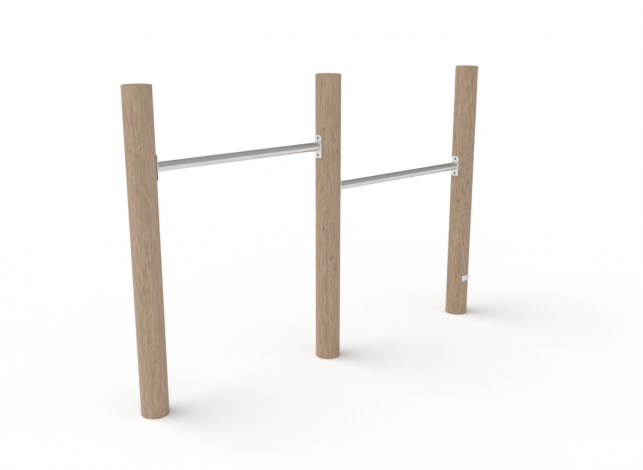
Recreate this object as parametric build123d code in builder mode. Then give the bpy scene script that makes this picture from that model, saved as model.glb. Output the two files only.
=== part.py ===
"""Double turning bar for a playground.

Three round timber posts stand in a row. An upper steel bar joins the left and the middle
post, a lower one the middle and the right post. Each bar is a tube welded square to two
flat end plates, and each plate is held to its post by two countersunk timber screws.

Frame: millimetres, +X along the bars from left to right, +Z up, the front towards -Y.
The origin is the centre of the middle post's foot, on the ground.
"""

from build123d import *
import os

# Posts
post_diameter = 125
post_height = 1450
post_spacing = 1014
post_top_chamfer = 3

# Bars: standard 42.4 tube, a comfortable grip for a child
upper_bar_height = 1106
lower_bar_height = 894
tube_diameter = 42.4
tube_wall = 3.2

# End plates of the bars
flange_thickness = 4
flange_side_margin = 3
flange_corner_radius = 11
flange_edge_round = 0.6
screw_spacing = 83
screw_edge_distance = 14.5
weld_leg = 2.7
weld_crown = 0.25

# Flats milled on the round posts, for the end plates and for the label plate
flange_seat_depth = 0.8
label_seat_depth = 2.5
seat_end_margin = 1

# Timber screws of the end plates
screw_length = 60
screw_head_diameter = 12.2
screw_head_recess = 0.2
screw_shank_diameter = 5.6
screw_plain_length = 18
thread_diameter = 7
thread_root_diameter = 4.6
thread_pitch = 3.4
screw_point_length = 8
socket_tip_diameter = 5.5
socket_lobe_diameter = 1.4
socket_lobe_count = 6
socket_depth = 2.5

# Label plate and its screws
label_width = 64
label_height = 32
label_thickness = 2
label_corner_radius = 3
label_centre_height = 226
label_screw_spacing = 22
label_screw_length = 20
label_screw_diameter = 3
label_screw_head_diameter = 5.6
label_screw_point_length = 3
label_slot_width = 0.8
label_slot_depth = 0.7

# Bore in each foot for the rod of a ground anchor
anchor_bore_diameter = 22
anchor_bore_depth = 200

# Clearances, on the radius unless they are named otherwise
shank_clearance = 0.3
thread_clearance = 0.1
pilot_end_gap = 3

# Derived places
post_radius = post_diameter / 2
left_post_x = -post_spacing
middle_post_x = 0
right_post_x = post_spacing
tube_radius = tube_diameter / 2
flange_width = tube_diameter + 2 * flange_side_margin
flange_height = screw_spacing + 2 * screw_edge_distance
flange_back = post_radius - flange_seat_depth
flange_front = flange_back + flange_thickness
label_back = post_radius - label_seat_depth
label_front = label_back + label_thickness
countersink_angle = 90


def facing_plane(post_x, side, distance, height):
    """Plane on a post's left (side -1) or right (side 1), facing away from it, its Y axis up."""
    return Plane(origin=(post_x + side * distance, 0, height), x_dir=(0, side, 0), z_dir=(side, 0, 0))


def front_plane(post_x, distance, height):
    """Plane on a post's front, facing away from it, its X axis to the right and its Y axis up."""
    return Plane(origin=(post_x, -distance, height), x_dir=(1, 0, 0), z_dir=(0, -1, 0))


def half_spacings(spacing):
    """The places of a vertical pair of screws on their plane."""
    return (0, -spacing / 2), (0, spacing / 2)


def cut_seat(plane, depth, height):
    """Mill a flat across the round post, from the plane outwards."""
    with BuildSketch(plane) as seat:
        Rectangle(post_diameter, height + 2 * seat_end_margin)
    extrude(seat.sketch, amount=depth, mode=Mode.SUBTRACT)


def cut_pilot_holes(plane, spacing, radius, depth):
    """Drill a vertical pair of pilot holes into the post, from the plane inwards."""
    with BuildSketch(plane) as holes:
        with Locations(*half_spacings(spacing)):
            Circle(radius + thread_clearance)
    extrude(holes.sketch, amount=-depth - pilot_end_gap, mode=Mode.SUBTRACT)


def make_post(post_x, bar_seats, has_label):
    """A round post. bar_seats lists the side and the height of each bar end that it carries."""
    foot_plane = Plane(origin=(post_x, 0, 0))
    with BuildPart() as post:
        with BuildSketch(foot_plane):
            Circle(post_radius)
        extrude(amount=post_height)
        chamfer(post.faces().sort_by(Axis.Z)[-1].edges(), post_top_chamfer)
        with BuildSketch(foot_plane):
            Circle(anchor_bore_diameter / 2)
        extrude(amount=anchor_bore_depth, mode=Mode.SUBTRACT)
        for side, height in bar_seats:
            seat_plane = facing_plane(post_x, side, flange_back, height)
            cut_seat(seat_plane, flange_seat_depth, flange_height)
            pilot_depth = screw_length + screw_head_recess - flange_thickness
            cut_pilot_holes(seat_plane, screw_spacing, thread_diameter / 2, pilot_depth)
        if has_label:
            seat_plane = front_plane(post_x, label_back, label_centre_height)
            cut_seat(seat_plane, label_seat_depth, label_height)
            pilot_depth = label_screw_length - label_thickness
            cut_pilot_holes(seat_plane, label_screw_spacing, label_screw_diameter / 2, pilot_depth)
    return post


def make_tube(start_x, end_x, height):
    """The grip tube, square cut at both ends, between two end plates."""
    with BuildPart() as tube:
        with BuildSketch(Plane(origin=(start_x, 0, height), x_dir=(0, 1, 0), z_dir=(1, 0, 0))):
            Circle(tube_radius)
            Circle(tube_radius - tube_wall, mode=Mode.SUBTRACT)
        extrude(amount=end_x - start_x)
    return tube


def make_flange(plane):
    """An end plate of a bar. The plane is its front face."""
    with BuildPart(plane) as flange:
        with BuildSketch(plane):
            RectangleRounded(flange_width, flange_height, flange_corner_radius)
        extrude(amount=-flange_thickness)
        front_face = flange.faces().sort_by(Axis(plane.origin, plane.z_dir))[-1]
        chamfer(front_face.edges(), flange_edge_round)
        with Locations(*half_spacings(screw_spacing)):
            CounterSinkHole(
                radius=screw_shank_diameter / 2 + shank_clearance,
                counter_sink_radius=screw_head_diameter / 2 + screw_head_recess,
                counter_sink_angle=countersink_angle,
            )
    return flange


def make_weld(post_x, side, height):
    """The fillet weld between a tube and its end plate, with a slightly raised crown."""
    foot = (post_x + side * flange_front, 0, height)
    section = Plane(origin=foot, x_dir=(side, 0, 0), z_dir=(0, -side, 0))
    plate_toe = (0, tube_radius + weld_leg)
    tube_toe = (weld_leg, tube_radius)
    crown_reach = weld_leg / 2 + weld_crown
    with BuildPart() as weld:
        with BuildSketch(section):
            with BuildLine():
                Line((0, tube_radius), plate_toe)
                ThreePointArc(plate_toe, (crown_reach, tube_radius + crown_reach), tube_toe)
                Line(tube_toe, (0, tube_radius))
            make_face()
        revolve(axis=Axis(foot, (side, 0, 0)))
    return weld


def thread_outline():
    """Right half of the threaded stretch, from the plain shank down to the point.

    The pitch gives way a little, so that whole ridges fill the stretch.
    """
    threaded_length = screw_length - screw_plain_length - screw_point_length
    ridge_count = max(1, round(threaded_length / thread_pitch))
    pitch = threaded_length / ridge_count
    outline = [(thread_root_diameter / 2, -screw_plain_length)]
    for ridge in range(ridge_count):
        start = -screw_plain_length - ridge * pitch
        outline.append((thread_diameter / 2, start - pitch / 2))
        outline.append((thread_root_diameter / 2, start - pitch))
    return outline


def make_flange_screws(plane):
    """The two timber screws of an end plate. The plane is the plate's front face."""
    head_radius = screw_head_diameter / 2
    shank_radius = screw_shank_diameter / 2
    head_plane = plane.offset(-screw_head_recess)
    with BuildPart() as screws:
        for _, height in half_spacings(screw_spacing):
            head_centre = head_plane.from_local_coords((0, height, 0))
            section = Plane(origin=head_centre, x_dir=plane.x_dir, z_dir=-plane.y_dir)
            with BuildSketch(section):
                with BuildLine():
                    Polyline(
                        (0, 0),
                        (head_radius, 0),
                        (shank_radius, shank_radius - head_radius),
                        (shank_radius, -screw_plain_length),
                        *thread_outline(),
                        (0, -screw_length),
                        close=True,
                    )
                make_face()
            revolve(axis=Axis(head_centre, plane.z_dir))
        with BuildSketch(head_plane):
            with Locations(*half_spacings(screw_spacing)):
                Circle((socket_tip_diameter - socket_lobe_diameter) / 2)
                with PolarLocations((socket_tip_diameter - socket_lobe_diameter) / 2, socket_lobe_count):
                    Circle(socket_lobe_diameter / 2)
        extrude(amount=-socket_depth, mode=Mode.SUBTRACT)
    return screws


def make_label_plate(plane):
    """The blank label plate. The plane is its front face."""
    with BuildPart(plane) as label_plate:
        with BuildSketch(plane):
            RectangleRounded(label_width, label_height, label_corner_radius)
        extrude(amount=-label_thickness)
        with Locations(*half_spacings(label_screw_spacing)):
            CounterSinkHole(
                radius=label_screw_diameter / 2 + thread_clearance,
                counter_sink_radius=label_screw_head_diameter / 2,
                counter_sink_angle=countersink_angle,
            )
    return label_plate


def make_label_screws(plane):
    """The two slotted screws of the label plate, their heads flush with its front face."""
    head_radius = label_screw_head_diameter / 2
    shank_radius = label_screw_diameter / 2
    with BuildPart() as screws:
        for _, height in half_spacings(label_screw_spacing):
            head_centre = plane.from_local_coords((0, height, 0))
            section = Plane(origin=head_centre, x_dir=plane.x_dir, z_dir=-plane.y_dir)
            with BuildSketch(section):
                with BuildLine():
                    Polyline(
                        (0, 0),
                        (head_radius, 0),
                        (shank_radius, shank_radius - head_radius),
                        (shank_radius, -label_screw_length + label_screw_point_length),
                        (0, -label_screw_length),
                        close=True,
                    )
                make_face()
            revolve(axis=Axis(head_centre, plane.z_dir))
        with BuildSketch(plane):
            with Locations(*half_spacings(label_screw_spacing)):
                Rectangle(label_screw_head_diameter, label_slot_width)
        extrude(amount=-label_slot_depth, mode=Mode.SUBTRACT)
    return screws


def save(name, node):
    """Label a finished piece and write it to its own file."""
    node.part.label = name
    export_step(node.part, f"parts/{name}.step")


os.makedirs("parts", exist_ok=True)

save("left_post", make_post(left_post_x, [(1, upper_bar_height)], has_label=False))
middle_seats = [(-1, upper_bar_height), (1, lower_bar_height)]
save("middle_post", make_post(middle_post_x, middle_seats, has_label=False))
save("right_post", make_post(right_post_x, [(-1, lower_bar_height)], has_label=True))

bars = [
    ("upper_bar", left_post_x, middle_post_x, upper_bar_height),
    ("lower_bar", middle_post_x, right_post_x, lower_bar_height),
]
for bar_name, start_post_x, end_post_x, bar_height in bars:
    tube = make_tube(start_post_x + flange_front, end_post_x - flange_front, bar_height)
    save(f"{bar_name}_tube", tube)
    for end_name, post_x, side in (("left", start_post_x, 1), ("right", end_post_x, -1)):
        front_face_plane = facing_plane(post_x, side, flange_front, bar_height)
        save(f"{bar_name}_{end_name}_flange", make_flange(front_face_plane))
        save(f"{bar_name}_{end_name}_weld", make_weld(post_x, side, bar_height))
        save(f"{bar_name}_{end_name}_screws", make_flange_screws(front_face_plane))

label_front_plane = front_plane(right_post_x, label_front, label_centre_height)
save("label_plate", make_label_plate(label_front_plane))
save("label_screws", make_label_screws(label_front_plane))
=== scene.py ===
"""Looks for the double turning bar: timber posts, satin steel bars, and a pale studio floor."""

import math
import random
from typing import NamedTuple

import bmesh
import bpy
from mathutils import Matrix, Vector, noise


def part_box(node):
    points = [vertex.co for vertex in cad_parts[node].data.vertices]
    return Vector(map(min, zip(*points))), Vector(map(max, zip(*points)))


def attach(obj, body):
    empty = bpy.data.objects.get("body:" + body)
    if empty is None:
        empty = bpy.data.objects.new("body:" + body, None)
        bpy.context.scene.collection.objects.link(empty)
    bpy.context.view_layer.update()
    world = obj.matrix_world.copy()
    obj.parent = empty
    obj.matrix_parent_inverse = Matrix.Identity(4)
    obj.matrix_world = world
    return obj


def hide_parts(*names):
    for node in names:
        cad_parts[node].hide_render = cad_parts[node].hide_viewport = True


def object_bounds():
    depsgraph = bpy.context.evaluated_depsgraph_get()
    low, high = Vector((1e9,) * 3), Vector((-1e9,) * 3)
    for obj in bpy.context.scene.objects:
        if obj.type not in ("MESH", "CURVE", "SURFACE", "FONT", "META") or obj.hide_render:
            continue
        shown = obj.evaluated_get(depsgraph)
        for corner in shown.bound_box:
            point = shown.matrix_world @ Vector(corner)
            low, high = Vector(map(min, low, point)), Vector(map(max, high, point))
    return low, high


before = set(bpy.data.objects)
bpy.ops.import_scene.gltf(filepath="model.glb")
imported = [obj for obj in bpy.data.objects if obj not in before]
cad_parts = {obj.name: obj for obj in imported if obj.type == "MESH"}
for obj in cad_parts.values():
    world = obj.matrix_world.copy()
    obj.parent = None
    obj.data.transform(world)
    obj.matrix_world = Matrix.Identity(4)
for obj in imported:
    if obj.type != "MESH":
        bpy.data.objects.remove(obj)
cad_low, cad_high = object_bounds()

MM = 0.001

# Posts
POST_SEGMENTS = 192
POST_RING_STEP = 9 * MM
POST_TOP_CHAMFER = 3 * MM
POST_TOP_BULGE = (0.35, 0.30)
POST_TOP_SHARES = (0.85, 0.65, 0.45, 0.25, 0.1)
POST_FOOT_SHARE = 0.6
POST_FOOT_EDGE = 0.4 * MM
POST_WAVE_DEPTH = 0.35 * MM
POST_WAVES_ACROSS = 30
POST_WAVES_UP = 4
POST_SIDE_SHARE = 0.9
POST_SAWN_REACH = 0.1 * MM
POST_SHARP_ANGLE = 28
SEAT_MARGIN = 1 * MM
SEAT_SHOULDER = 0.05 * MM
SEAT_RING_GAP = 1.5 * MM
ANCHOR_BORE_RADIUS = 11 * MM
ANCHOR_BORE_DEPTH = 200 * MM
FLANGE_PILOT_RADIUS = 3.6 * MM
LABEL_PILOT_RADIUS = 1.6 * MM
PILOT_SEGMENTS = 32
PILOT_END_GAP = 3 * MM

# Bars
TUBE_SEGMENTS = 128
TUBE_WALL = 3.2 * MM
TUBE_RING_COUNT = 48
TUBE_END_CHAMFER = 0.4 * MM
TUBE_SHARP_ANGLE = 30

# Weld beads
WELD_SEGMENTS = 528
WELD_SECTION_POINTS = 10
WELD_RIPPLE_PITCH = 2.3 * MM
WELD_RIPPLE_DEPTH = 0.3 * MM
WELD_CROWN = 0.22 * MM
WELD_CRESCENT = 0.55
WELD_FAINTEST_RIPPLE = 0.7
WELD_TOE_SHARE = 0.001
WELD_SHARP_ANGLE = 50

# Wood: linear colours, then the lie of the growth rings, knots and checks
WOOD_TAN = (0.462, 0.334, 0.220)
WOOD_PINK = (0.482, 0.336, 0.258)
WOOD_OLIVE = (0.390, 0.302, 0.196)
WOOD_PALE = (0.590, 0.450, 0.325)
WOOD_LATE = (0.270, 0.175, 0.108)
WOOD_PORE = (0.190, 0.118, 0.072)
WOOD_KNOT = (0.170, 0.100, 0.060)
WOOD_END = (0.330, 0.265, 0.205)
WOOD_CHECK = (0.060, 0.040, 0.028)
RING_WIDTH = 3.8 * MM
PITH_OFFSET = 24 * MM
PITH_TILT = 0.004
KNOT_FROM_AXIS = 62 * MM
KNOT_FLATTENING = (1, 1, 0.45)

# Studio: angles in degrees, azimuth 0 in front of the object and positive to its right
CAMERA_AZIMUTH = -39.97
CAMERA_ELEVATION = 15
CAMERA_DISTANCE = 3.9
CAMERA_LENS = 45.48
CAMERA_SENSOR = 36
CAMERA_REACH = 500
CAMERA_AIM_OFFSET = Vector((-0.150, -0.128, -0.023))
FLOOR_HALF_SIZE = 60
DOME_DARK_SIDE = (0.755, 0.553, -0.352)
DOME_GREYS = ((0.02, 0.54), (0.30, 0.48), (0.50, 0.49), (0.60, 0.44), (0.79, 0.33), (0.92, 0.09))


class Knot(NamedTuple):
    """A knot on a post: its bearing round the post in degrees, its height and its size."""

    bearing: float
    height: float
    size: float


class Check(NamedTuple):
    """A drying crack across a sawn end: its bearing from the grain side, in degrees, and where it runs."""

    turn: float
    start: float
    stop: float


class Timber(NamedTuple):
    """How one post's wood looks. seed moves its pattern; grain_side, in degrees, is where its arches are."""

    seed: float
    tone: float
    contrast: float
    grain_side: float
    knots: tuple


class Fixing(NamedTuple):
    """A plate on a post, its screws, the way that it faces, and the radius of its pilot holes."""

    plate: str
    screws: str
    facing: tuple
    pilot_radius: float


CHECKS = (Check(20.05, 6 * MM, 34 * MM), Check(126.05, 4 * MM, 24 * MM), Check(-97.4, 5 * MM, 28 * MM))


def towards(azimuth, elevation):
    """The direction from the object to something at an azimuth and an elevation in degrees."""
    a, e = math.radians(azimuth), math.radians(elevation)
    return Vector((math.sin(a) * math.cos(e), -math.cos(a) * math.cos(e), math.sin(e)))


def around(bearing):
    """The level direction at a bearing in degrees, counted from +X towards +Y."""
    return Vector((math.cos(math.radians(bearing)), math.sin(math.radians(bearing)), 0))


# ---------------------------------------------------------------- shader building


class Shader:
    """A node material under construction: each call adds one node and returns its output."""

    def __init__(self, name):
        self.material = bpy.data.materials.new(name)
        self.material.use_nodes = True
        self.tree = self.material.node_tree
        self.tree.nodes.clear()
        output = self.tree.nodes.new("ShaderNodeOutputMaterial")
        self.surface = self.tree.nodes.new("ShaderNodeBsdfPrincipled")
        self.tree.links.new(self.surface.outputs["BSDF"], output.inputs["Surface"])

    def plug(self, socket, value):
        """Link an output to a socket, or set the socket's own value."""
        if isinstance(value, bpy.types.NodeSocket):
            self.tree.links.new(value, socket)
        elif value is not None:
            socket.default_value = value

    def finish(self, **inputs):
        """Fill the surface shader's sockets, by name, and return the material."""
        for name, value in inputs.items():
            self.plug(self.surface.inputs[name.replace("_", " ").title().replace("Ior", "IOR")], value)
        return self.material

    def place(self, move=(0, 0, 0), scale=(1, 1, 1)):
        """Object coordinates, stretched and then moved."""
        coordinates = self.tree.nodes.new("ShaderNodeTexCoord")
        mapping = self.tree.nodes.new("ShaderNodeMapping")
        mapping.inputs["Location"].default_value = move
        mapping.inputs["Scale"].default_value = scale
        self.tree.links.new(coordinates.outputs["Object"], mapping.inputs["Vector"])
        return mapping.outputs["Vector"]

    def vector(self, operation, a, b=None, out="Vector"):
        node = self.tree.nodes.new("ShaderNodeVectorMath")
        node.operation = operation
        self.plug(node.inputs[0], a)
        self.plug(node.inputs[1], b)
        return node.outputs[out]

    def stretch(self, vector, factors):
        """A vector with each of its coordinates multiplied by a factor of its own."""
        return self.vector("MULTIPLY", vector, factors)

    def math(self, operation, a, b=None):
        node = self.tree.nodes.new("ShaderNodeMath")
        node.operation = operation
        self.plug(node.inputs[0], a)
        self.plug(node.inputs[1], b)
        return node.outputs[0]

    def noise(self, vector, scale=1.0, detail=2.0, roughness=0.5):
        """Noise around 0.5."""
        node = self.tree.nodes.new("ShaderNodeTexNoise")
        self.plug(node.inputs["Vector"], vector)
        node.inputs["Scale"].default_value = scale
        node.inputs["Detail"].default_value = detail
        node.inputs["Roughness"].default_value = roughness
        return node.outputs["Fac"]

    def cells(self, vector, scale=1.0):
        """Distance to the nearest of some scattered points."""
        node = self.tree.nodes.new("ShaderNodeTexVoronoi")
        self.plug(node.inputs["Vector"], vector)
        node.inputs["Scale"].default_value = scale
        return node.outputs["Distance"]

    def rescale(self, value, low, high, to_low=0.0, to_high=1.0):
        """Carry a value from one range to another, easing in and out, and held at the range's ends."""
        node = self.tree.nodes.new("ShaderNodeMapRange")
        node.interpolation_type = "SMOOTHSTEP"
        self.plug(node.inputs["Value"], value)
        for name, number in (("From Min", low), ("From Max", high), ("To Min", to_low), ("To Max", to_high)):
            node.inputs[name].default_value = number
        return node.outputs["Result"]

    def mix(self, amount, a, b):
        """Mix two colours."""
        node = self.tree.nodes.new("ShaderNodeMix")
        node.data_type = "RGBA"
        for name, value in (("Factor_Float", amount), ("A_Color", a), ("B_Color", b)):
            socket = next(s for s in node.inputs if s.identifier == name)
            self.plug(socket, value if not isinstance(value, tuple) else (*value, 1))
        return next(s for s in node.outputs if s.identifier == "Result_Color")

    def bump(self, height, strength, distance):
        node = self.tree.nodes.new("ShaderNodeBump")
        node.inputs["Strength"].default_value = strength
        node.inputs["Distance"].default_value = distance
        self.plug(node.inputs["Height"], height)
        return node.outputs["Normal"]


# ---------------------------------------------------------------- materials


def toned(colour, tone):
    """A colour made darker or lighter."""
    return tuple(channel * tone for channel in colour)


def highest(shader, values):
    """The largest of several values."""
    largest = values[0]
    for value in values[1:]:
        largest = shader.math("MAXIMUM", largest, value)
    return largest


def from_pith(shader, here, grain_side):
    """Where a point lies round the pith, which runs beside the post's axis, away from the grain side."""
    height = shader.vector("DOT_PRODUCT", here, (0, 0, 1), out="Value")
    drift = shader.stretch(height, (PITH_TILT, PITH_TILT, 0))
    pith = -around(grain_side) * PITH_OFFSET
    offset = shader.vector("SUBTRACT", shader.vector("SUBTRACT", here, pith), drift)
    return shader.stretch(offset, (1, 1, 0))


def knot_distances(shader, here, timber):
    """Each knot's size and the distance to it, which counts for less along the grain, so knots are tall."""
    distances = []
    for bearing, height, size in timber.knots:
        spot = around(bearing) * KNOT_FROM_AXIS + Vector((0, 0, height + timber.seed))
        away = shader.stretch(shader.vector("SUBTRACT", here, spot), KNOT_FLATTENING)
        distances.append((size, shader.vector("LENGTH", away, out="Value")))
    return distances


def early_band(shader, here, offset, knots):
    """The porous start of each growth ring, 0 to 1. The rings wander and bend round each knot."""
    radial = shader.vector("LENGTH", offset, out="Value")
    slow = shader.noise(shader.stretch(here, (12, 12, 3.2)), detail=1.5)
    middle = shader.noise(shader.stretch(here, (48, 48, 9)), detail=4, roughness=0.6)
    warp = shader.math("ADD", shader.math("MULTIPLY", slow, 0.060), shader.math("MULTIPLY", middle, 0.012))
    depth = shader.math("ADD", radial, warp)
    for size, distance in knots:
        depth = shader.math("ADD", depth, shader.rescale(distance, 0, size * 5, size * 1.6, 0))
    spread = shader.noise(shader.stretch(depth, (70, 0, 0)), detail=1)
    years = shader.math("DIVIDE", depth, RING_WIDTH)
    ring = shader.math("FRACT", shader.math("ADD", years, shader.math("MULTIPLY", spread, 2.5)))
    opening = shader.rescale(ring, 0.0, 0.10)
    closing = shader.rescale(ring, 0.16, 0.55, 1, 0)
    year = shader.noise(shader.stretch(depth, (0, 160, 0)), detail=0)
    band = shader.math("MULTIPLY", opening, closing)
    return shader.math("MULTIPLY", band, shader.rescale(year, 0.3, 0.7, 0.45, 1.0))


def post_wood(name, centre_x, timber):
    """Oiled light oak, cut round: arched rings of open pores, pinkish and olive streaks, fine fibres."""
    shader = Shader(name)
    here = shader.place(move=(-centre_x, 0, timber.seed))
    knots = knot_distances(shader, here, timber)
    early = early_band(shader, here, from_pith(shader, here, timber.grain_side), knots)
    hearts = [shader.rescale(distance, size * 0.1, size * 1.1, 1, 0) for size, distance in knots]
    streak = shader.noise(shader.stretch(here, (38, 38, 0.9)), detail=2, roughness=0.6)
    elsewhere = shader.vector("ADD", here, (3, 7, 1))
    hue = shader.noise(shader.stretch(elsewhere, (55, 55, 1.6)), detail=2)
    strand = shader.noise(shader.stretch(here, (210, 210, 11)), detail=5, roughness=0.7)
    fibre = shader.noise(shader.stretch(here, (1300, 1300, 26)), detail=4, roughness=0.75)
    fleck = shader.cells(shader.stretch(shader.vector("ADD", here, (5, 2, 4)), (190, 190, 15)))
    vessel = shader.cells(shader.stretch(here, (1000, 1000, 62)))
    tone, contrast = timber.tone, timber.contrast
    tan, pink, olive = toned(WOOD_TAN, tone), toned(WOOD_PINK, tone), toned(WOOD_OLIVE, tone)
    pale, dark, darkest = toned(WOOD_PALE, tone), toned(WOOD_LATE, tone), toned(WOOD_PORE, tone)
    colour = shader.mix(shader.rescale(hue, 0.42, 0.58), tan, pink)
    colour = shader.mix(shader.rescale(streak, 0.50, 0.64, 0, 0.8), colour, olive)
    colour = shader.mix(shader.rescale(strand, 0.47, 0.32, 0, 0.85), colour, pale)
    colour = shader.mix(shader.rescale(strand, 0.51, 0.66, 0, 0.60 * contrast), colour, dark)
    colour = shader.mix(shader.math("MULTIPLY", early, 0.48), colour, dark)
    colour = shader.mix(shader.rescale(fibre, 0.35, 0.70, 0, 0.25 * contrast), colour, dark)
    colour = shader.mix(shader.rescale(fleck, 0.08, 0.26, 0.45 * contrast, 0), colour, dark)
    slit = shader.rescale(vessel, 0.10, 0.26, 1, 0)
    slit = shader.math("MULTIPLY", slit, shader.rescale(early, 0.05, 0.6, 0.22, 0.85))
    colour = shader.mix(slit, colour, darkest)
    colour = shader.mix(shader.math("MULTIPLY", highest(shader, hearts), 0.85), colour, WOOD_KNOT)
    roughness = shader.rescale(fibre, 0.3, 0.7, 0.50, 0.68)
    relief = shader.math("SUBTRACT", shader.math("MULTIPLY", fibre, 0.5), slit)
    normal = shader.bump(relief, 0.5, 0.30 * MM)
    return shader.finish(base_color=colour, roughness=roughness, normal=normal, specular_ior_level=0.35)


def drying_check(shader, flat, wobble, grain_side, check):
    """A hairline crack in a sawn end, which runs out from the pith, 0 to 1."""
    bearing = grain_side + check.turn
    along = shader.vector("DOT_PRODUCT", flat, around(bearing), out="Value")
    across = shader.vector("DOT_PRODUCT", flat, around(bearing + 90), out="Value")
    gap = shader.math("ABSOLUTE", shader.math("ADD", across, wobble))
    opening = shader.rescale(along, check.start, (check.start + check.stop) / 2)
    closing = shader.rescale(along, check.stop * 0.9, check.stop, 1, 0)
    line = shader.math("MULTIPLY", shader.rescale(gap, 0.10 * MM, 0.45 * MM, 1, 0), opening)
    return shader.math("MULTIPLY", line, closing)


def end_grain(name, centre_x, timber):
    """The sawn ends: the side's growth rings cut across, open pores, pale rays and drying checks."""
    shader = Shader(name)
    here = shader.place(move=(-centre_x, 0, timber.seed))
    flat = from_pith(shader, here, timber.grain_side)
    early = early_band(shader, here, flat, knots=())
    tone = timber.tone
    pore = shader.rescale(shader.cells(shader.stretch(flat, (1500, 1500, 1))), 0.15, 0.42, 1, 0)
    speck = shader.math("MULTIPLY", pore, shader.rescale(early, 0, 0.6, 0.15, 0.9))
    patch = shader.noise(shader.stretch(flat, (35, 35, 1)), detail=4)
    split = shader.tree.nodes.new("ShaderNodeSeparateXYZ")
    shader.plug(split.inputs[0], flat)
    bearing = shader.math("ARCTAN2", split.outputs["Y"], split.outputs["X"])
    ray = shader.noise(shader.stretch(bearing, (46, 0, 0)), detail=3, roughness=0.8)
    colour = shader.mix(shader.rescale(patch, 0.35, 0.65), toned(WOOD_END, tone), toned(WOOD_OLIVE, tone))
    colour = shader.mix(shader.math("MULTIPLY", early, 0.45), colour, toned(WOOD_LATE, tone))
    colour = shader.mix(shader.rescale(ray, 0.60, 0.72, 0, 0.35), colour, toned(WOOD_TAN, tone))
    colour = shader.mix(speck, colour, WOOD_PORE)
    wobble = shader.math("MULTIPLY", shader.math("SUBTRACT", patch, 0.5), 4 * MM)
    cracks = [drying_check(shader, flat, wobble, timber.grain_side, check) for check in CHECKS]
    checks = highest(shader, cracks)
    colour = shader.mix(shader.math("MULTIPLY", checks, 0.85), colour, WOOD_CHECK)
    relief = shader.math("SUBTRACT", shader.math("MULTIPLY", speck, -0.4), checks)
    normal = shader.bump(relief, 0.6, 0.4 * MM)
    roughness = shader.rescale(patch, 0.3, 0.7, 0.68, 0.82)
    return shader.finish(base_color=colour, roughness=roughness, normal=normal, specular_ior_level=0.25)


def satin_steel(name, colour, dull, stretch, rough_low, rough_high, metallic=1.0):
    """Stainless steel with faint handling marks and a fine grain, which is long where stretch is low."""
    shader = Shader(name)
    grain = shader.noise(shader.place(scale=stretch), detail=4, roughness=0.75)
    cloud = shader.noise(shader.place(), scale=9, detail=2, roughness=0.5)
    tint = shader.mix(shader.rescale(cloud, 0.35, 0.7, 0, 0.5), colour, dull)
    tint = shader.mix(shader.rescale(grain, 0.35, 0.70, 0, 0.6), tint, dull)
    uneven = shader.math("ADD", shader.math("MULTIPLY", grain, 0.7), shader.math("MULTIPLY", cloud, 0.3))
    roughness = shader.rescale(uneven, 0.35, 0.65, rough_low, rough_high)
    normal = shader.bump(grain, 0.08, 0.02 * MM)
    return shader.finish(base_color=tint, metallic=metallic, roughness=roughness, normal=normal)


def weld_steel(name):
    """A brushed and pickled weld bead in grey bands with a little straw; its pale colour is a painted
    highlight that gives the bead a bright rim.
    """
    shader = Shader(name)
    band = shader.noise(shader.place(), scale=180, detail=2)
    stain = shader.noise(shader.place(move=(1, 3, 2)), scale=45, detail=3)
    # Pale greys, lighter than the tube's steel: painted highlight on the bead.
    colour = shader.mix(shader.rescale(band, 0.35, 0.65), (0.88, 0.872, 0.86), (0.74, 0.73, 0.715))
    colour = shader.mix(shader.rescale(stain, 0.5, 0.75, 0, 0.35), colour, (0.64, 0.58, 0.49))
    normal = shader.bump(band, 0.15, 0.1 * MM)
    roughness = shader.rescale(band, 0.3, 0.7, 0.34, 0.48)
    return shader.finish(base_color=colour, metallic=0.45, roughness=roughness, normal=normal)


def black_zinc(name):
    """Black coated screws, darkened further to near black as painted shade of the screw holes, and a little
    grey where the driver rubs.
    """
    shader = Shader(name)
    cloud = shader.noise(shader.place(), scale=260, detail=3)
    rub = shader.noise(shader.place(move=(2, 1, 5)), scale=900, detail=2)
    rubbed = shader.rescale(cloud, 0.4, 0.75, 0, 0.6)
    # Near-black colours: a black coating, darkened further as painted shade of the screw holes.
    colour = shader.mix(rubbed, (0.008, 0.008, 0.009), (0.024, 0.023, 0.023))
    roughness = shader.rescale(rub, 0.3, 0.7, 0.38, 0.55)
    normal = shader.bump(rub, 0.1, 0.03 * MM)
    return shader.finish(base_color=colour, roughness=roughness, normal=normal, specular_ior_level=0.2)


def label_metal(name):
    """Matt anodised aluminium sheet, left blank."""
    shader = Shader(name)
    grain = shader.noise(shader.place(scale=(60, 60, 2600)), detail=2, roughness=0.6)
    cloud = shader.noise(shader.place(), scale=40, detail=3)
    colour = shader.mix(shader.rescale(cloud, 0.35, 0.7), (0.80, 0.79, 0.78), (0.70, 0.69, 0.685))
    roughness = shader.rescale(grain, 0.3, 0.7, 0.42, 0.56)
    normal = shader.bump(grain, 0.05, 0.04 * MM)
    return shader.finish(base_color=colour, metallic=0.35, roughness=roughness, normal=normal)


def studio_floor(name):
    """Pale seamless floor with the faintest unevenness."""
    shader = Shader(name)
    cloud = shader.noise(shader.place(), scale=0.8, detail=3)
    colour = shader.mix(cloud, (0.935, 0.935, 0.935), (0.955, 0.955, 0.955))
    return shader.finish(base_color=colour, roughness=0.9, specular_ior_level=0.0)


# ---------------------------------------------------------------- mesh building


def new_piece(name, build, materials, stands_for):
    """Make a mesh object with build(bm), and let it stand for a CAD node."""
    mesh = bpy.data.meshes.new(name)
    bm = bmesh.new()
    build(bm)
    bmesh.ops.recalc_face_normals(bm, faces=bm.faces)
    bm.to_mesh(mesh)
    bm.free()
    piece = bpy.data.objects.new(name, mesh)
    bpy.context.scene.collection.objects.link(piece)
    for material in materials:
        mesh.materials.append(material)
    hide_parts(stands_for)
    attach(piece, "root")
    return piece


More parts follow.
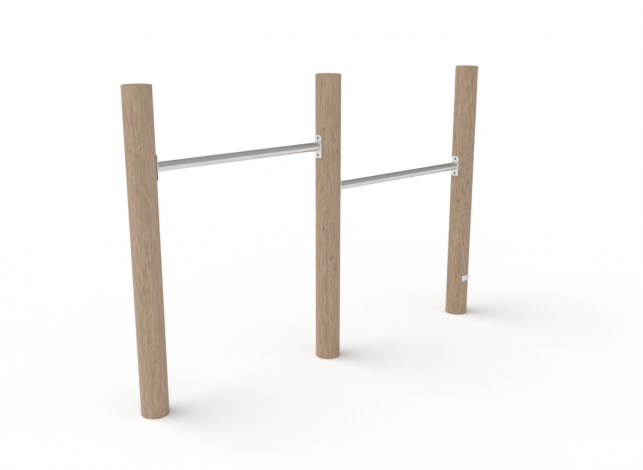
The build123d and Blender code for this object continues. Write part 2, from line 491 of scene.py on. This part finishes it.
def smooth_by_angle(piece, degrees):
    """Shade smooth, and keep the edges sharper than an angle."""
    mesh = piece.data
    bm = bmesh.new()
    bm.from_mesh(mesh)
    for face in bm.faces:
        face.smooth = True
    for edge in bm.edges:
        edge.smooth = len(edge.link_faces) == 2 and edge.calc_face_angle(0) < math.radians(degrees)
    bm.to_mesh(mesh)
    bm.free()


def lathe(bm, rings, segments, place):
    """Skin closed rings, each made by place(ring, angle), with a fan at a ring of zero radius."""
    loops = []
    for ring in rings:
        if ring[0] == 0:
            loops.append([bm.verts.new(place(ring, 0))])
        else:
            angles = (2 * math.pi * k / segments for k in range(segments))
            loops.append([bm.verts.new(place(ring, angle)) for angle in angles])
    faces = []
    for first, second in zip(loops, loops[1:]):
        for k in range(segments):
            n = (k + 1) % segments
            corners = [first[k % len(first)], first[n % len(first)]]
            corners += [second[n % len(second)], second[k % len(second)]]
            faces.append(bm.faces.new(list(dict.fromkeys(corners))))
    return faces


def post_rings(radius, height):
    """(radius, height) of each ring of a post, from the bottom of the anchor bore to the top's centre."""
    side_top = height - POST_TOP_CHAMFER
    steps = round(side_top / POST_RING_STEP)
    rings = [(0, ANCHOR_BORE_DEPTH), (ANCHOR_BORE_RADIUS, ANCHOR_BORE_DEPTH), (ANCHOR_BORE_RADIUS, 0)]
    rings += [(radius * POST_FOOT_SHARE, 0), (radius - POST_FOOT_EDGE, 0)]
    rings += [(radius, POST_FOOT_EDGE + (side_top - POST_FOOT_EDGE) * k / steps) for k in range(steps + 1)]
    inwards, downwards = POST_TOP_BULGE
    rings += [(radius - POST_TOP_CHAMFER * inwards, height - POST_TOP_CHAMFER * downwards)]
    rings += [(radius - POST_TOP_CHAMFER, height)]
    rings += [(radius * share, height) for share in POST_TOP_SHARES]
    return rings + [(0, height)]


def with_seat_edges(rings, radius, seats):
    """Add a ring on each side of each seat's ends, where the surface steps in."""
    edges = [z + shift for seat in seats for z, shift in seat["ends"]]
    kept = [ring for ring in rings
            if ring[0] != radius or all(abs(ring[1] - z) > SEAT_RING_GAP for z in edges)]
    start = next(k for k, ring in enumerate(kept) if ring[0] == radius)
    side = sorted({ring[1] for ring in kept if ring[0] == radius} | set(edges))
    rest = [ring for ring in kept[start:] if ring[0] != radius]
    return kept[:start] + [(radius, z) for z in side] + rest


def seat_on(post_centre, fixing):
    """A milled flat behind a plate: its outward normal, distance from the post's axis, and ends."""
    low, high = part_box(fixing.plate)
    axis = 0 if fixing.facing[0] else 1
    back = min(abs(low[axis] - post_centre[axis]), abs(high[axis] - post_centre[axis]))
    low_end, high_end = low.z - SEAT_MARGIN, high.z + SEAT_MARGIN
    ends = [(low_end, -SEAT_SHOULDER), (low_end, 0), (high_end, 0), (high_end, SEAT_SHOULDER)]
    facing = Vector(fixing.facing)
    return {"normal": facing, "distance": back, "low": low_end, "high": high_end, "ends": ends}


def pilot_holes(fixing):
    """(mouth, bottom) of the hole round each of a plate's two screws."""
    low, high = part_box(fixing.screws)
    axis = 0 if fixing.facing[0] else 1
    head_radius = (high[1 - axis] - low[1 - axis]) / 2
    middle = (low + high) / 2
    reach = Vector(fixing.facing) * ((high[axis] - low[axis]) / 2 + PILOT_END_GAP)
    centres = [Vector((middle.x, middle.y, z)) for z in (low.z + head_radius, high.z - head_radius)]
    return [(centre + reach, centre - reach) for centre in centres]


def drill(piece, holes, radius):
    """Cut round holes, each from a first to a second point."""
    bm = bmesh.new()
    for mouth, bottom in holes:
        turn = (bottom - mouth).to_track_quat("Z", "Y").to_matrix().to_4x4()
        place = Matrix.Translation((mouth + bottom) / 2) @ turn
        bmesh.ops.create_cone(bm, cap_ends=True, segments=PILOT_SEGMENTS, radius1=radius, radius2=radius,
                              depth=(bottom - mouth).length, matrix=place)
    cutter_mesh = bpy.data.meshes.new("cutter")
    bm.to_mesh(cutter_mesh)
    bm.free()
    cutter = bpy.data.objects.new("cutter", cutter_mesh)
    bpy.context.scene.collection.objects.link(cutter)
    cut = piece.modifiers.new("drill", "BOOLEAN")
    cut.operation = "DIFFERENCE"
    cut.solver = "EXACT"
    cut.object = cutter
    evaluated = piece.evaluated_get(bpy.context.evaluated_depsgraph_get())
    drilled = bpy.data.meshes.new_from_object(evaluated)
    piece.modifiers.clear()
    piece.data = drilled
    bpy.data.objects.remove(cutter)


def make_post(node, timber, fixings):
    """A timber post with its milled seats, pilot holes and anchor bore."""
    low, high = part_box(node)
    centre = (low + high) / 2
    radius = (high.x - low.x) / 2
    seats = [seat_on(centre, fixing) for fixing in fixings]
    rings = with_seat_edges(post_rings(radius, high.z), radius, seats)

    def place(ring, angle):
        ring_radius, z = ring
        point = Vector((math.cos(angle), math.sin(angle), 0)) * ring_radius
        if ring_radius > radius * POST_SIDE_SHARE:
            across = point * POST_WAVES_ACROSS
            wave = noise.noise(Vector((across.x + centre.x, across.y, z * POST_WAVES_UP)))
            point *= 1 - POST_WAVE_DEPTH * (0.5 + 0.5 * wave) / radius
        for seat in seats:
            over = point.dot(seat["normal"]) - seat["distance"]
            if over > 0 and seat["low"] <= z <= seat["high"]:
                point -= seat["normal"] * over
        return Vector((centre.x, centre.y, 0)) + point + Vector((0, 0, z))

    def build(bm):
        for face in lathe(bm, rings, POST_SEGMENTS, place):
            heights = [vert.co.z for vert in face.verts]
            at_foot = max(heights) < POST_SAWN_REACH
            at_top = min(heights) > high.z - POST_SAWN_REACH
            face.material_index = 1 if at_foot or at_top else 0

    materials = [post_wood(node + "_wood", centre.x, timber), end_grain(node + "_end", centre.x, timber)]
    piece = new_piece(node + "_timber", build, materials, node)
    for fixing in fixings:
        drill(piece, pilot_holes(fixing), fixing.pilot_radius)
    smooth_by_angle(piece, POST_SHARP_ANGLE)


def make_tube(node, material):
    """A bar's tube, hollow, with the sharp edges of its ends taken off."""
    low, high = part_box(node)
    outer = (high.z - low.z) / 2
    inner = outer - TUBE_WALL
    middle_z = (low.z + high.z) / 2
    inset = TUBE_END_CHAMFER
    length = high.x - low.x - 2 * inset
    outside = [(outer, low.x + inset + length * k / TUBE_RING_COUNT) for k in range(TUBE_RING_COUNT + 1)]
    rings = [(inner, low.x), (outer - inset, low.x)] + outside
    rings += [(outer - inset, high.x), (inner, high.x), (inner, low.x)]

    def place(ring, angle):
        return Vector((ring[1], math.cos(angle) * ring[0], middle_z + math.sin(angle) * ring[0]))

    def build(bm):
        lathe(bm, rings, TUBE_SEGMENTS, place)
        bmesh.ops.remove_doubles(bm, verts=bm.verts, dist=0.001 * MM)

    piece = new_piece(node + "_steel", build, [material], node)
    smooth_by_angle(piece, TUBE_SHARP_ANGLE)


def make_weld(node, side, material, seed):
    """A fillet weld laid in overlapping ripples. side is 1 where its plate faces +X, and -1 where -X."""
    low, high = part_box(node)
    draw = random.Random(seed)
    middle_z = (low.z + high.z) / 2
    toe_radius = (high.z - low.z) / 2
    leg = high.x - low.x
    tube_radius = toe_radius - leg
    foot_x = low.x if side > 0 else high.x
    ripple_count = round(2 * math.pi * toe_radius / WELD_RIPPLE_PITCH)
    jitter = [draw.uniform(WELD_FAINTEST_RIPPLE, 1.0) for _ in range(ripple_count)]

    def place(across, angle):
        turn = angle / (2 * math.pi) * ripple_count + WELD_CRESCENT * math.sin(math.pi * across)
        ripple = turn % 1
        depth = WELD_RIPPLE_DEPTH * jitter[int(turn) % ripple_count] * ripple ** 2
        bulge = math.sin(math.pi * across)
        lift = WELD_CROWN * bulge - depth * bulge ** 0.5
        along = leg * across + lift / math.sqrt(2)
        radial = tube_radius + leg * (1 - across) + lift / math.sqrt(2)
        return Vector((foot_x + side * along, math.cos(angle) * radial, middle_z + math.sin(angle) * radial))

    def root(angle):
        return Vector((foot_x, math.cos(angle) * tube_radius, middle_z + math.sin(angle) * tube_radius))

    def build(bm):
        angles = [2 * math.pi * k / WELD_SEGMENTS for k in range(WELD_SEGMENTS)]
        loops = []
        for k in range(WELD_SECTION_POINTS + 1):
            across = WELD_TOE_SHARE + (1 - 2 * WELD_TOE_SHARE) * k / WELD_SECTION_POINTS
            loops.append([bm.verts.new(place(across, angle)) for angle in angles])
        loops.append([bm.verts.new(root(angle)) for angle in angles])
        for k, first in enumerate(loops):
            second = loops[(k + 1) % len(loops)]
            for s in range(WELD_SEGMENTS):
                n = (s + 1) % WELD_SEGMENTS
                bm.faces.new((first[s], first[n], second[n], second[s]))

    piece = new_piece(node + "_bead", build, [material], node)
    smooth_by_angle(piece, WELD_SHARP_ANGLE)


def paint(node, material):
    """Give a CAD node its material."""
    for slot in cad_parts[node].material_slots:
        slot.material = material


# ---------------------------------------------------------------- the object

steel_tube = satin_steel(
    "steel_tube", (0.71, 0.703, 0.695), (0.63, 0.623, 0.615), (5, 1500, 1500), 0.24, 0.30,
)
# Plate steel, paler and less metallic than the tube's: its brightness is a painted reflection of the bright
# surroundings on its flat faces.
steel_plate = satin_steel(
    "steel_plate", (0.90, 0.888, 0.875), (0.72, 0.708, 0.695), (1500, 1500, 12), 0.34, 0.46, metallic=0.75,
)
# Weld beads, made pale as a painted highlight.
steel_weld = weld_steel("steel_weld")
# Plate screws: black coating, darkened further as painted shade.
screw_black = black_zinc("screw_black")
screw_steel = satin_steel(
    "screw_steel", (0.62, 0.615, 0.605), (0.5, 0.495, 0.485), (700, 700, 700), 0.28, 0.42,
)
label_sheet = label_metal("label_sheet")

TO_LEFT, TO_RIGHT, TO_FRONT = (-1, 0, 0), (1, 0, 0), (0, -1, 0)


def bar_fixing(bar_end, facing):
    """The end plate of a bar, held by its timber screws."""
    return Fixing(f"{bar_end}_flange", f"{bar_end}_screws", facing, FLANGE_PILOT_RADIUS)


left_timber = Timber(seed=3, tone=0.98, contrast=0.95, grain_side=-165, knots=(
    Knot(-158, 1.19, 6 * MM),
    Knot(-128, 0.36, 4 * MM),
    Knot(40, 0.70, 6 * MM),
))
middle_timber = Timber(seed=6, tone=1.0, contrast=1.6, grain_side=-150, knots=(
    Knot(-150, 1.19, 6 * MM),
    Knot(-89, 1.08, 6 * MM),
    Knot(60, 0.45, 7 * MM),
    Knot(-112, 0.55, 7 * MM),
    Knot(-150, 0.70, 6 * MM),
))
right_timber = Timber(seed=9, tone=0.97, contrast=1.6, grain_side=-125, knots=(
    Knot(-105, 0.80, 8 * MM),
    Knot(-135, 0.12, 5 * MM),
    Knot(20, 1.20, 7 * MM),
    Knot(-153, 0.69, 7 * MM),
    Knot(-80, 0.65, 7 * MM),
    Knot(-80, 1.01, 7 * MM),
))

make_post("left_post", left_timber, [bar_fixing("upper_bar_left", TO_RIGHT)])
make_post("middle_post", middle_timber, [
    bar_fixing("upper_bar_right", TO_LEFT),
    bar_fixing("lower_bar_left", TO_RIGHT),
])
make_post("right_post", right_timber, [
    bar_fixing("lower_bar_right", TO_LEFT),
    Fixing("label_plate", "label_screws", TO_FRONT, LABEL_PILOT_RADIUS),
])

for bar_number, bar in enumerate(("upper_bar", "lower_bar")):
    make_tube(f"{bar}_tube", steel_tube)
    for end, side in (("left", 1), ("right", -1)):
        make_weld(f"{bar}_{end}_weld", side, steel_weld, seed=10 * bar_number + side)
        paint(f"{bar}_{end}_flange", steel_plate)
        paint(f"{bar}_{end}_screws", screw_black)
paint("label_plate", label_sheet)
paint("label_screws", screw_steel)


# ---------------------------------------------------------------- studio


def make_floor():
    """A pale floor that reaches far past what the camera sees."""
    mesh = bpy.data.meshes.new("floor")
    size = FLOOR_HALF_SIZE
    corners = [(-size, -size, 0), (size, -size, 0), (size, size, 0), (-size, size, 0)]
    mesh.from_pydata(corners, [], [(0, 1, 2, 3)])
    mesh.materials.append(studio_floor("floor_paint"))
    floor = bpy.data.objects.new("floor", mesh)
    bpy.context.scene.collection.objects.link(floor)


def make_world():
    """White behind the object for the camera, and a soft grey dome for the light and reflections."""
    world = bpy.data.worlds.new("studio")
    bpy.context.scene.world = world
    world.use_nodes = True
    tree = world.node_tree
    tree.nodes.clear()
    output = tree.nodes.new("ShaderNodeOutputWorld")
    chosen = tree.nodes.new("ShaderNodeMixShader")
    path = tree.nodes.new("ShaderNodeLightPath")
    dome = tree.nodes.new("ShaderNodeBackground")
    backdrop = tree.nodes.new("ShaderNodeBackground")
    backdrop.inputs["Color"].default_value = (1, 1, 1, 1)
    coordinates = tree.nodes.new("ShaderNodeTexCoord")
    along = tree.nodes.new("ShaderNodeVectorMath")
    along.operation = "DOT_PRODUCT"
    along.inputs[1].default_value = DOME_DARK_SIDE
    depth = tree.nodes.new("ShaderNodeMapRange")
    depth.inputs["From Min"].default_value, depth.inputs["From Max"].default_value = -1, 1
    ramp = tree.nodes.new("ShaderNodeValToRGB")
    stops = ramp.color_ramp.elements
    for number, (position, grey) in enumerate(DOME_GREYS):
        stop = stops[number] if number < len(stops) else stops.new(position)
        stop.position = position
        stop.color = (grey, grey, grey, 1)
    tree.links.new(coordinates.outputs["Generated"], along.inputs[0])
    tree.links.new(along.outputs["Value"], depth.inputs["Value"])
    tree.links.new(depth.outputs["Result"], ramp.inputs["Fac"])
    tree.links.new(ramp.outputs["Color"], dome.inputs["Color"])
    tree.links.new(path.outputs["Is Camera Ray"], chosen.inputs["Fac"])
    tree.links.new(dome.outputs[0], chosen.inputs[1])
    tree.links.new(backdrop.outputs[0], chosen.inputs[2])
    tree.links.new(chosen.outputs[0], output.inputs["Surface"])


def make_sun(name, azimuth, elevation, softness, strength):
    """A broad soft light from far away; softness is its apparent size in degrees."""
    lamp = bpy.data.lights.new(name, "SUN")
    lamp.angle = math.radians(softness)
    lamp.energy = strength
    light = bpy.data.objects.new(name, lamp)
    bpy.context.scene.collection.objects.link(light)
    light.rotation_euler = towards(azimuth, elevation).to_track_quat("Z", "Y").to_euler()
    light.visible_glossy = False


def make_camera():
    """The camera, which looks at a place near the object's middle."""
    data = bpy.data.cameras.new("camera")
    data.lens = CAMERA_LENS
    data.sensor_width = CAMERA_SENSOR
    data.clip_end = CAMERA_REACH
    camera = bpy.data.objects.new("camera", data)
    bpy.context.scene.collection.objects.link(camera)
    back = towards(CAMERA_AZIMUTH, CAMERA_ELEVATION)
    aim = (cad_low + cad_high) / 2 + CAMERA_AIM_OFFSET
    camera.location = aim + back * CAMERA_DISTANCE
    camera.rotation_euler = back.to_track_quat("Z", "Y").to_euler()
    bpy.context.scene.camera = camera


make_floor()
make_world()
make_sun("key", azimuth=-130, elevation=54, softness=52, strength=1.42)
make_sun("fill", azimuth=-35, elevation=48, softness=130, strength=0.95)
make_camera()
bpy.context.scene.view_settings.view_transform = "Standard"
